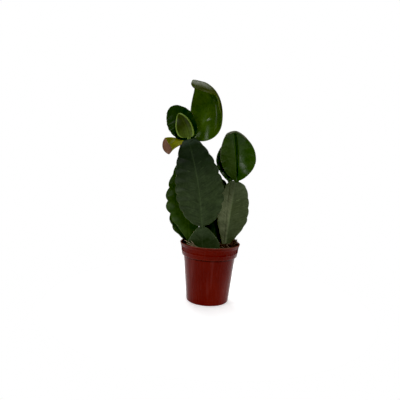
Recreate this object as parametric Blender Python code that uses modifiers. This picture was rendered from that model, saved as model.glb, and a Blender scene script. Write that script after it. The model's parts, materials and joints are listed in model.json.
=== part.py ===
"""A young rhipsalis in a small plastic nursery pot.

Metres, +Z up. The origin is the centre of the pot's flat base, and the front of the plant faces -Y.
The plant is made of flat stem segments, called pads here. Each pad is one blade that follows a bent
spine, with lobed margins, a midrib and a hollowed or folded face. Pads stand in slots in the soil or
sit on the tip of the pad that carries them.
"""

from math import cos, exp, log, pi, radians, sin

import bmesh
import bpy
from mathutils import Matrix, Vector, noise

# Pot: a turned shell, thin walled, with a stepped band under its rim
RIM_RADIUS = 0.0300
RIM_LIP = 0.0004
POT_HEIGHT = 0.0594
BAND_HEIGHT = 0.0129
BAND_FOOT_RADIUS = 0.0273
BODY_TOP_RADIUS = 0.0256
BASE_RADIUS = 0.0210
BASE_EDGE = 0.0008
WALL = 0.0010
TURN_STEPS = 48
DRAIN_HOLES = 5
DRAIN_RADIUS = 0.0028
DRAIN_CIRCLE_RADIUS = 0.0125

# Soil: fills the pot, clear of its wall, with a crumbled top that rises round the right-hand shoot
CLEARANCE = 0.0003
SOIL_EDGE_Z = 0.0552
SOIL_CROWN = 0.0012
SOIL_RINGS = 8
CRUMB_HEIGHT = 0.0016
CRUMB_SIZE = 0.0045
MOUND_CENTRE = (0.0175, 0.0080)
MOUND_REACH = 0.0090
MOUND_HEIGHT = 0.0042

# Room left round a pad where another pad or the soil is cut back from it
CUT_ROOM = 0.0005

# What a pad is unless its own entry says otherwise. Lengths are metres and angles are degrees.
PAD_DEFAULTS = {
    "parent": None,  # the pad that carries it
    "base": (0, 0, 0),  # its foot, measured from the origin or, for a carried pad, from that pad's tip
    "lean": 0,  # to the right, as seen from the front
    "recline": 0,  # away from the viewer
    "turn": 0,  # of its face, to the right
    "length": 0.05,
    "stalk": 0,  # share of the length that stays as narrow as the neck
    "left": 0.015,  # greatest half-widths, each side of the midrib
    "right": 0.015,
    "widest": 0.5,  # share of the length
    "base_taper": 0.8,  # 0.5 is round, and over 1 is drawn out
    "tip_taper": 0.55,
    "neck": 0.0022,  # half-widths at the two ends
    "tip": 0.0022,
    "bend": 0,  # along the whole length, towards the face
    "curl": 0,  # of the tip alone, towards the face
    "curl_from": 0.6,
    "sweep": 0,  # along the whole length, to the right
    "hook": 0,  # of the tip alone, to the right
    "twist": 0,
    "fold": 4,  # how far each half is raised at the midrib
    "cup_left": 10,  # how far each half turns on towards its margin
    "cup_right": 10,
    "trim": 0,  # share of the right half that is missing near trim_at
    "trim_at": 0.76,
    "trim_reach": 0.14,
    "lobes": 6,  # on each margin
    "lobe_depth": 0.0008,
    "lobe_shift": 0,
    "wave": 0.0004,
    "body": 0.0020,  # thickness beside the midrib, at the margin, and what the midrib adds
    "edge": 0.0011,
    "rib": 0.0010,
    "rows": 20,
    "columns": 6,
    "colour": "glossy_green",
}
RIB_REACH = 0.0022
NECK_BULK = 0.0010
NECK_REACH = 0.0070

PADS = {
    "pad_front_base": {
        "base": (-0.0068, -0.0119, 0.0430),
        "lean": -3.6,
        "recline": -6,
        "length": 0.0353,
        "stalk": 0.10,
        "left": 0.0152,
        "right": 0.0171,
        "widest": 0.36,
        "base_taper": 0.62,
        "tip_taper": 0.90,
        "neck": 0.0030,
        "tip": 0.0030,
        "cup_left": 6,
        "cup_right": 6,
        "lobes": 3,
        "lobe_depth": 0.0004,
        "body": 0.0026,
        "wave": 0.0002,
        "rib": 0.0006,
        "rows": 18,
        "colour": "dull_green",
    },
    "pad_front_large": {
        "parent": "pad_front_base",
        "base": (0.0000, 0.0000, 0.0000),
        "lean": -4.6,
        "recline": 4,
        "length": 0.0851,
        "left": 0.0232,
        "right": 0.0241,
        "widest": 0.40,
        "base_taper": 0.78,
        "tip_taper": 0.73,
        "neck": 0.0030,
        "tip": 0.0054,
        "bend": 4,
        "sweep": -15.1,
        "cup_left": 8,
        "cup_right": 8,
        "lobes": 9.1,
        "lobe_depth": 0.0011,
        "lobe_shift": -0.10,
        "body": 0.0026,
        "rib": 0.001,
        "rows": 36,
        "colour": "dull_green",
    },
    "pad_left": {
        "base": (-0.0194, -0.0030, 0.0430),
        "lean": -3.5,
        "recline": 6,
        "length": 0.1002,
        "stalk": 0.17,
        "left": 0.0219,
        "right": 0.0193,
        "widest": 0.46,
        "base_taper": 1.60,
        "tip_taper": 0.93,
        "neck": 0.0030,
        "tip": 0.0025,
        "sweep": -7.8,
        "lobes": 7.6,
        "lobe_depth": 0.0028,
        "lobe_shift": 0.02,
        "wave": 0.001,
        "rows": 34,
    },
    "pad_left_back": {
        "base": (-0.0148, 0.0055, 0.0430),
        "lean": -20.2,
        "recline": 8,
        "length": 0.0581,
        "stalk": 0.25,
        "left": 0.0141,
        "right": 0.0140,
        "widest": 0.55,
        "base_taper": 0.97,
        "tip_taper": 0.48,
        "neck": 0.0030,
        "tip": 0.0025,
        "lobes": 4.9,
        "lobe_depth": 0.0016,
        "lobe_shift": 0.38,
        "wave": 0.0008,
        "rows": 24,
    },
    "pad_back": {
        "base": (0.0024, 0.0120, 0.0430),
        "lean": 3.6,
        "recline": 4,
        "length": 0.0802,
        "stalk": 0.05,
        "left": 0.0157,
        "right": 0.0172,
        "widest": 0.45,
        "base_taper": 0.88,
        "tip_taper": 0.63,
        "neck": 0.0030,
        "tip": 0.0025,
        "lobe_depth": 0.0012,
        "rows": 24,
        "colour": "dull_green",
    },
    "pad_right_base": {
        "base": (0.0150, 0.0000, 0.0430),
        "lean": 3.3,
        "recline": 3,
        "length": 0.0796,
        "stalk": 0.13,
        "left": 0.0130,
        "right": 0.0190,
        "widest": 0.50,
        "base_taper": 1.58,
        "tip_taper": 0.46,
        "neck": 0.0032,
        "tip": 0.0040,
        "sweep": 4.4,
        "fold": -12,
        "cup_left": 1,
        "cup_right": 1,
        "lobes": 7.9,
        "lobe_depth": 0.0007,
        "lobe_shift": -0.42,
        "rib": 0.0016,
        "rows": 28,
        "wave": 0.0006,
        "colour": "grey_green",
    },
    "pad_right_folded": {
        "parent": "pad_right_base",
        "base": (0.0006, 0.0000, 0.0000),
        "lean": -2.5,
        "recline": 0.3,
        "length": 0.0537,
        "left": 0.0161,
        "right": 0.0222,
        "widest": 0.48,
        "base_taper": 0.77,
        "tip_taper": 0.80,
        "neck": 0.0025,
        "bend": 40,
        "curl": 197.3,
        "curl_from": 0.93,
        "sweep": -18,
        "fold": 16,
        "cup_left": 5,
        "cup_right": 30.8,
        "lobe_depth": 0.0003,
        "rows": 24,
        "columns": 8,
    },
    "pad_right_rear": {
        "parent": "pad_right_base",
        "base": (-0.0062, 0.0020, -0.0004),
        "lean": 2.8,
        "recline": 8,
        "length": 0.0403,
        "left": 0.0146,
        "right": 0.0111,
        "widest": 0.50,
        "tip_taper": 0.77,
        "neck": 0.0025,
        "sweep": -15,
        "lobe_depth": 0.0004,
    },
    "pad_top_hooked": {
        "parent": "pad_front_large",
        "base": (0.0062, 0.0029, 0.0000),
        "lean": 34.3,
        "recline": 8,
        "length": 0.0750,
        "left": 0.0192,
        "right": 0.0313,
        "widest": 0.51,
        "base_taper": 0.71,
        "tip_taper": 0.65,
        "neck": 0.0025,
        "bend": 48,
        "curl": 130.8,
        "curl_from": 0.35,
        "sweep": -44.3,
        "hook": 16.2,
        "twist": -52.6,
        "fold": 4.1,
        "cup_left": 6.3,
        "cup_right": 78,
        "trim": 0.30,
        "lobe_depth": 0,
        "wave": 0,
        "rows": 30,
        "columns": 10,
    },
    "pad_top_round": {
        "parent": "pad_front_large",
        "base": (0.0020, 0.0005, 0.0000),
        "lean": -26.7,
        "recline": 5,
        "length": 0.0356,
        "left": 0.0142,
        "right": 0.0137,
        "widest": 0.47,
        "base_taper": 0.45,
        "tip_taper": 0.69,
        "neck": 0.0025,
        "sweep": -17.5,
        "lobe_depth": 0.0006,
    },
    "pad_top_young": {
        "parent": "pad_front_large",
        "base": (0.0010, -0.0025, 0.0011),
        "lean": -11.3,
        "recline": -10,
        "length": 0.0246,
        "left": 0.0114,
        "right": 0.0071,
        "widest": 0.37,
        "base_taper": 0.52,
        "tip_taper": 0.71,
        "tip": 0.0008,
        "sweep": -30,
        "fold": 10,
        "cup_left": 35,
        "cup_right": 35,
        "lobe_depth": 0,
        "wave": 0,
        "rows": 16,
        "colour": "young_green",
    },
    "pad_bud_red": {
        "parent": "pad_front_large",
        "base": (-0.0051, -0.0005, -0.0039),
        "lean": -103.4,
        "recline": 2.4,
        "turn": 51.5,
        "length": 0.0316,
        "left": 0.0066,
        "right": 0.0110,
        "widest": 0.63,
        "base_taper": 0.46,
        "tip_taper": 0.82,
        "neck": 0.0018,
        "tip": 0.0020,
        "curl": 195.7,
        "curl_from": 0.20,
        "sweep": -57.5,
        "hook": -33.2,
        "twist": -73.1,
        "fold": 3.4,
        "cup_left": 41.2,
        "cup_right": 79.1,
        "lobe_depth": 0,
        "wave": 0,
        "rib": 0.0006,
        "rows": 20,
        "columns": 6,
        "colour": "young_yellow",
    },
}

# Which pads are cut back from which, where their feet meet
CUTS = {
    "pad_front_large": ["pad_front_base"],
    "pad_right_folded": ["pad_right_base"],
    "pad_right_rear": ["pad_right_base", "pad_right_folded"],
    "pad_top_round": ["pad_front_large"],
    "pad_top_hooked": ["pad_front_large", "pad_top_round"],
    "pad_top_young": ["pad_front_large", "pad_top_round", "pad_top_hooked"],
    "pad_bud_red": ["pad_front_large", "pad_top_round", "pad_top_young"],
}
ROOTED = ["pad_front_base", "pad_left", "pad_left_back", "pad_back", "pad_right_base"]

# Base colour, roughness
MATERIALS = {
    "red_plastic": ((0.110, 0.010, 0.007), 0.28),
    "soil": ((0.022, 0.012, 0.008), 0.95),
    "dull_green": ((0.022, 0.042, 0.020), 0.55),
    "grey_green": ((0.050, 0.062, 0.034), 0.60),
    "glossy_green": ((0.016, 0.050, 0.006), 0.30),
    "young_green": ((0.055, 0.090, 0.012), 0.35),
    "young_yellow": ((0.150, 0.140, 0.010), 0.40),
}


def clear_scene():
    for obj in list(bpy.data.objects):
        bpy.data.objects.remove(obj, do_unlink=True)


def new_collection(name):
    collection = bpy.data.collections.new(name)
    bpy.context.scene.collection.children.link(collection)
    return collection


def make_material(name):
    colour, roughness = MATERIALS[name]
    material = bpy.data.materials.new(name)
    material.use_nodes = True
    shader = material.node_tree.nodes["Principled BSDF"]
    shader.inputs["Base Color"].default_value = (*colour, 1)
    shader.inputs["Roughness"].default_value = roughness
    shader.inputs["Metallic"].default_value = 0
    return material


def add_object(name, mesh, material, collection):
    obj = bpy.data.objects.new(name, mesh)
    collection.objects.link(obj)
    if material is not None:
        mesh.materials.append(material)
    return obj


def pad_shape(name):
    return {**PAD_DEFAULTS, **PADS[name]}


def late_share(along, start):
    """How fast a turn that begins at start and grows to the tip is made here. It adds up to 1."""
    return 2 * max(0.0, along - start) / (1 - start) ** 2


def start_frame(shape):
    """Side, along and face directions at a pad's foot, as the columns of a matrix."""
    upright = Matrix(((1, 0, 0), (0, 0, -1), (0, 1, 0)))
    lean = Matrix.Rotation(radians(shape["lean"]), 3, "Y")
    recline = Matrix.Rotation(-radians(shape["recline"]), 3, "X")
    turn = Matrix.Rotation(radians(shape["turn"]), 3, "Y")
    return lean @ recline @ upright @ turn


def stations(rows):
    """Places along a pad from 0 to 1, closer together towards both ends."""
    return [i / rows - 0.6 * sin(2 * pi * i / rows) / (2 * pi) for i in range(rows + 1)]


def spine(name, places):
    """The centre point and frame of a pad at each place along it."""
    shape = pad_shape(name)
    point = foot_of(name)
    frame = start_frame(shape)
    found = [(point.copy(), frame.copy())]
    for before, after in zip(places, places[1:]):
        step = after - before
        late = late_share((before + after) / 2, shape["curl_from"])
        bend = radians(shape["bend"] + shape["curl"] * late) * step
        sweep = radians(shape["sweep"] + shape["hook"] * late) * step
        half = Matrix.Rotation(bend / 2, 3, "X") @ Matrix.Rotation(-sweep / 2, 3, "Z")
        twist = Matrix.Rotation(radians(shape["twist"]) * step, 3, "Y")
        point = point + (frame @ half).col[1] * shape["length"] * step
        frame = frame @ half @ half @ twist
        found.append((point.copy(), frame.copy()))
    return found


def foot_of(name):
    """Where a pad begins: a point in the soil, or one at the tip of the pad that carries it."""
    shape = pad_shape(name)
    if shape["parent"] is None:
        return Vector(shape["base"])
    tip, frame = spine(shape["parent"], stations(24))[-1]
    return tip + Vector(shape["base"])


def half_width(shape, along, side):
    """From the midrib to one margin, with the margin's lobes."""
    blade = max(0.0, (along - shape["stalk"]) / (1 - shape["stalk"]))
    swell = abs(sin(pi * blade ** (log(0.5) / log(shape["widest"]))))
    if blade < shape["widest"]:
        swell, end = swell ** shape["base_taper"], shape["neck"]
    else:
        swell, end = swell ** shape["tip_taper"], shape["tip"]
    lobe = abs(sin(pi * (shape["lobes"] * along + shape["lobe_shift"] + 0.5 * (side == "left"))))
    width = end + (shape[side] - end) * swell - shape["lobe_depth"] * (1 - lobe**0.7) * swell
    if side == "right":
        width *= 1 - shape["trim"] * exp(-(((along - shape["trim_at"]) / shape["trim_reach"]) ** 2))
    return width


def pad_point(shape, place, along, across):
    """A point of a pad's middle surface. Across runs from -1 at the left margin to 1 at the right."""
    centre, frame = place
    side = "left" if across < 0 else "right"
    width = half_width(shape, along, side)
    share = width / shape[side]
    fold = radians(shape["fold"]) * share
    cup = max(radians(shape["cup_" + side]) * share, 1e-4)
    reach = abs(across)
    out = width / cup * (sin(fold + cup * reach) - sin(fold))
    up = width / cup * (cos(fold) - cos(fold + cup * reach))
    up += shape["wave"] * sin(2 * pi * shape["lobes"] * along) * across * reach * share
    return centre + frame @ Vector((out if across > 0 else -out, 0, up))


def pad_thickness(shape, along, across):
    width = half_width(shape, along, "left" if across < 0 else "right")
    rib = shape["rib"] * exp(-((across * width / RIB_REACH) ** 2))
    neck = NECK_BULK * exp(-((along * shape["length"] / NECK_REACH) ** 2))
    return shape["edge"] + (shape["body"] - shape["edge"]) * (1 - across**2) + rib * (1 - along) + neck


def make_pad(name, materials, collection):
    """A flat grid laid along the spine, then thickened."""
    shape = pad_shape(name)
    rows, columns = shape["rows"], shape["columns"]
    places = stations(rows)
    line = spine(name, places)
    mesh = bpy.data.meshes.new(name)
    grid = bmesh.new()
    bmesh.ops.create_grid(grid, x_segments=columns, y_segments=rows, size=1)
    bmesh.ops.triangulate(grid, faces=grid.faces[:])
    thickness = []
    for vertex in grid.verts:
        across = vertex.co.x
        row = round((vertex.co.y + 1) / 2 * rows)
        vertex.co = pad_point(shape, line[row], places[row], across)
        thickness.append(pad_thickness(shape, places[row], across))
    grid.to_mesh(mesh)
    grid.free()
    mesh.shade_smooth()
    pad = add_object(name, mesh, materials[shape["colour"]], collection)
    thickest = max(thickness)
    group = pad.vertex_groups.new(name="thickness")
    for index, value in enumerate(thickness):
        group.add([index], value / thickest, "REPLACE")
    solidify = pad.modifiers.new("thickness", "SOLIDIFY")
    solidify.thickness = thickest
    solidify.offset = 0
    solidify.vertex_group = group.name
    return pad


def make_grown_copy(pad, collection):
    """A copy of a pad, a little larger all round, to cut its neighbours with."""
    grown = pad.copy()
    grown.name = pad.name + "_room"
    collection.objects.link(grown)
    displace = grown.modifiers.new("room", "DISPLACE")
    displace.strength = CUT_ROOM
    displace.mid_level = 0
    grown.hide_render = True
    grown.display_type = "WIRE"
    return grown


def cut(obj, cutter):
    boolean = obj.modifiers.new("clear_of_" + cutter.name, "BOOLEAN")
    boolean.operation = "DIFFERENCE"
    boolean.object = cutter


def turned(name, profile, material, collection):
    """A closed profile from axis to axis, given as (radius, height), turned about Z."""
    mesh = bpy.data.meshes.new(name)
    edges = [(i, i + 1) for i in range(len(profile) - 1)]
    mesh.from_pydata([(radius, 0, height) for radius, height in profile], edges, [])
    obj = add_object(name, mesh, material, collection)
    screw = obj.modifiers.new("turn", "SCREW")
    screw.steps = screw.render_steps = TURN_STEPS
    screw.use_merge_vertices = True
    screw.merge_threshold = 0.00001
    return obj


def body_radius(height):
    """Outer radius of the pot's tapered body."""
    top = POT_HEIGHT - BAND_HEIGHT
    share = (height - BASE_EDGE) / (top - BASE_EDGE)
    return BASE_RADIUS + (BODY_TOP_RADIUS - BASE_RADIUS) * share


def make_pot(materials, collection, cutters):
    band_foot = POT_HEIGHT - BAND_HEIGHT
    profile = [
        (0, WALL),
        (body_radius(WALL) - WALL, WALL),
        (BODY_TOP_RADIUS - WALL, band_foot + WALL / 2),
        (BAND_FOOT_RADIUS - WALL, band_foot + WALL),
        (RIM_RADIUS - RIM_LIP - WALL, POT_HEIGHT - RIM_LIP),
        (RIM_RADIUS - WALL, POT_HEIGHT),
        (RIM_RADIUS - RIM_LIP, POT_HEIGHT),
        (RIM_RADIUS, POT_HEIGHT - RIM_LIP),
        (RIM_RADIUS - RIM_LIP, POT_HEIGHT - 3 * RIM_LIP),
        (BAND_FOOT_RADIUS, band_foot + RIM_LIP),
        (BAND_FOOT_RADIUS - RIM_LIP, band_foot),
        (BODY_TOP_RADIUS, band_foot),
        (BASE_RADIUS, BASE_EDGE),
        (BASE_RADIUS - BASE_EDGE, 0),
        (0, 0),
    ]
    pot = turned("pot", profile, materials["red_plastic"], collection)
    for i in range(DRAIN_HOLES):
        angle = 2 * pi * (i + 0.5) / DRAIN_HOLES
        bpy.ops.mesh.primitive_cylinder_add(
            vertices=16,
            radius=DRAIN_RADIUS,
            depth=6 * WALL,
            location=(DRAIN_CIRCLE_RADIUS * cos(angle), DRAIN_CIRCLE_RADIUS * sin(angle), 0),
        )
        drill = bpy.context.object
        drill.name = f"drain_{i + 1}"
        for holder in drill.users_collection:
            holder.objects.unlink(drill)
        cutters.objects.link(drill)
        drill.hide_render = True
        drill.display_type = "WIRE"
        cut(pot, drill)
    return pot


def soil_top(x, y):
    """Height of the soil: a low crown, a mound beside the right-hand shoot, and crumbs."""
    radius = (x * x + y * y) ** 0.5
    crown = SOIL_CROWN * (1 - (radius / BODY_TOP_RADIUS) ** 2)
    away = ((x - MOUND_CENTRE[0]) ** 2 + (y - MOUND_CENTRE[1]) ** 2) ** 0.5
    mound = MOUND_HEIGHT * exp(-((away / MOUND_REACH) ** 2))
    crumbs = CRUMB_HEIGHT * noise.noise(Vector((x, y, 0)) / CRUMB_SIZE)
    return SOIL_EDGE_Z + crown + mound + crumbs


def make_soil(materials, collection):
    gap = CLEARANCE
    band_foot = POT_HEIGHT - BAND_HEIGHT
    edge_share = (SOIL_EDGE_Z - band_foot) / BAND_HEIGHT
    edge_radius = BAND_FOOT_RADIUS + (RIM_RADIUS - BAND_FOOT_RADIUS) * edge_share - WALL - 2 * gap
    top = [(edge_radius * i / SOIL_RINGS, SOIL_EDGE_Z) for i in range(SOIL_RINGS + 1)]
    side = [
        (BAND_FOOT_RADIUS - WALL - 3 * gap, band_foot + WALL + 2 * gap),
        (BODY_TOP_RADIUS - WALL - 2 * gap, band_foot + WALL + gap),
        (BODY_TOP_RADIUS - WALL - 2 * gap, band_foot - WALL),
        (body_radius(WALL) - WALL - 2 * gap, WALL + gap),
        (0, WALL + gap),
    ]
    soil = turned("soil", top + side, materials["soil"], collection)
    graph = bpy.context.evaluated_depsgraph_get()
    mesh = bpy.data.meshes.new_from_object(soil.evaluated_get(graph))
    soil.modifiers.clear()
    soil.data = mesh
    for vertex in mesh.vertices:
        radius = (vertex.co.x**2 + vertex.co.y**2) ** 0.5
        if vertex.co.z > SOIL_EDGE_Z - gap and radius < edge_radius - gap:
            vertex.co.z = soil_top(vertex.co.x, vertex.co.y)
    return soil


def main():
    clear_scene()
    collection = new_collection("potted_rhipsalis")
    cutters = new_collection("cutters")
    materials = {name: make_material(name) for name in MATERIALS}
    make_pot(materials, collection, cutters)
    soil = make_soil(materials, collection)
    pads = {name: make_pad(name, materials, collection) for name in PADS}
    needed = sorted(set(ROOTED).union(*CUTS.values()))
    rooms = {name: make_grown_copy(pads[name], cutters) for name in needed}
    for name, neighbours in CUTS.items():
        for neighbour in neighbours:
            cut(pads[name], rooms[neighbour])
    for name in ROOTED:
        cut(soil, rooms[name])


main()
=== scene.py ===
"""Looks of the potted rhipsalis: fine pads, pot, soil, light and camera.

Metres, +Z up, the front of the plant faces -Y. Each pad repeats the numbers of the solid that it stands for,
on a finer mesh with rounded margins, veins, areoles and bristles. Colours are linear.
"""

import json
from math import cos, exp, hypot, log, pi, radians, sin, sqrt

import bmesh
import bpy
import numpy as np
from mathutils import Euler, Matrix, Vector, kdtree, noise

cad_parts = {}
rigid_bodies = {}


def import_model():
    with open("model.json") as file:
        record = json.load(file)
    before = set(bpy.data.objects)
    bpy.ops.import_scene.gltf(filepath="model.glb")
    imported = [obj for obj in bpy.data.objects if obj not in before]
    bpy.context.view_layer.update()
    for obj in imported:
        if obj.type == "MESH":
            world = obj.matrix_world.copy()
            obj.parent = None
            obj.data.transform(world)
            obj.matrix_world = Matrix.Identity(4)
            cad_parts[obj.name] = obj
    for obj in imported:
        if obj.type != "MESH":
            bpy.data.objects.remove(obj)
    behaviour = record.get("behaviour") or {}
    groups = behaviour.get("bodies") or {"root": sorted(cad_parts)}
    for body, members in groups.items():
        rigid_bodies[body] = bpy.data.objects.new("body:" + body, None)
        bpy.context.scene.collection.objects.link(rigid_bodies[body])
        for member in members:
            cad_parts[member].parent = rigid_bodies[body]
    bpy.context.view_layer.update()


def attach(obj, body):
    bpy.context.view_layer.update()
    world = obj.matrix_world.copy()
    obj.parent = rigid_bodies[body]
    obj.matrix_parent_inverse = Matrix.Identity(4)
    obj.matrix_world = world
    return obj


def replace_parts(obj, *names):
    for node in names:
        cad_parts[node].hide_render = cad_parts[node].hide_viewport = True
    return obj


# Pot
RIM_RADIUS = 0.03
RIM_LIP = 0.0004
POT_HEIGHT = 0.0594
BAND_HEIGHT = 0.0129
BAND_FOOT_Z = POT_HEIGHT - BAND_HEIGHT
BAND_FOOT_RADIUS = 0.0273
BAND_SLOPE = (RIM_RADIUS - RIM_LIP - BAND_FOOT_RADIUS) / BAND_HEIGHT
BODY_TOP_RADIUS = 0.0256
BASE_RADIUS = 0.021
BASE_EDGE = 0.0008
WALL = 0.001
DRAIN_HOLES = 5
DRAIN_RADIUS = 0.0028
DRAIN_CIRCLE_RADIUS = 0.0125
DRAIN_STEPS = 40
POT_STEPS = 180
SHARP_ANGLE = 42
# A small step and a low ridge run round the band
STEP_Z = POT_HEIGHT - 0.0034
STEP_RUN = 0.0003
STEP_DEPTH = 0.00014
RIDGE_Z = POT_HEIGHT - 0.0082
RIDGE_RUN = 0.0006
RIDGE_HEIGHT = 0.00022

# Soil
CLEARANCE = 0.0003
SOIL_EDGE_Z = 0.0552
SOIL_CROWN = 0.0012
CRUMB_HEIGHT = 0.0016
CRUMB_SIZE = 0.0045
MOUND_CENTRE = (0.0175, 0.008)
MOUND_REACH = 0.009
MOUND_HEIGHT = 0.0042
HEAP_CENTRE = (0.0245, 0.0)
HEAP_REACH = 0.0042
HEAP_HEIGHT = 0.0062
SOIL_RINGS = 84
SOIL_STEPS = 220
BOTTOM_RINGS = 30
# The fine relief of the soil: height and size of its coarse and of its fine lumps
COARSE_RELIEF = (0.00055, 0.0017)
FINE_RELIEF = (0.0003, 0.0007)
BOTTOM_RELIEF = (0.0004, 0.0016)

# Loose bits on the soil. Those nearer to a pad than the clearance are left out.
CRUMB_SEED = 11
FIBRE_SEED = 5
BRISTLE_SEED = 3
PADS_NEAR_SOIL = (0.05, 0.068)
CRUMBS = 420
HEAP_CRUMBS = 110
HEAP_CRUMB_SPREAD = (0.0026, 0.003)
LEAST_CRUMB = 0.00035
CRUMB_RANGE = 0.0011
CRUMB_EDGE_ROOM = 0.0002
GRAINS = [
    (0.0048, -0.0195), (0.0062, -0.019), (0.0035, -0.017), (-0.0175, 0.014), (0.015, 0.019),
    (0.006, 0.0235), (0.0215, -0.008), (-0.006, 0.0225),
]
LEAST_GRAIN = 0.00055
GRAIN_RANGE = 0.0003
# A fibre is (start, heading in degrees, length)
FIRST_FIBRE = ((-0.0215, -0.015), -25, 0.013)
FIBRES = 26
FIBRE_STEPS = 14
FIBRE_LIFT = 0.0004
FIBRE_ARCH = 0.0006
FIBRE_EDGE_ROOM = 0.0006
# Pale root strands that lie over the foot of the front pad
STRANDS = [
    [(-0.0254, -0.012, 0.0626), (-0.0228, -0.0155, 0.062), (-0.0208, -0.0173, 0.0613),
     (-0.0188, -0.0183, 0.0606), (-0.0158, -0.0195, 0.0593), (-0.0128, -0.0205, 0.0582),
     (-0.0104, -0.021, 0.0574)],
    [(-0.0227, -0.0168, 0.0603), (-0.0197, -0.018, 0.0594), (-0.0167, -0.0195, 0.0585),
     (-0.0128, -0.0215, 0.0574)],
    [(-0.0194, -0.017, 0.0634), (-0.0174, -0.0178, 0.0617), (-0.0158, -0.019, 0.0596),
     (-0.0138, -0.0205, 0.0581)],
]
STRAND_RADIUS = 0.00038
STRAND_WAVER = 0.00025
HAIRS = 22
HAIR_POINTS = 9
HAIR_RADIUS = 0.00011
HAIR_SPREAD = (0.002, 0.0022)

# Areoles: a felted cushion with a few bristles in each notch of the margins
AREOLE_SIZE = 0.00042
AREOLE_SUNK = 0.00018
AREOLE_FROM = 0.12
AREOLE_TO = 0.96
AREOLE_ABOVE_SOIL = 0.003
BRISTLES = 4
BRISTLE_PLACES = (0, 0.35, 0.7, 1.0)
BRISTLE_RADII = (0.00005, 0.000042, 0.00003, 0.000012)

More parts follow.
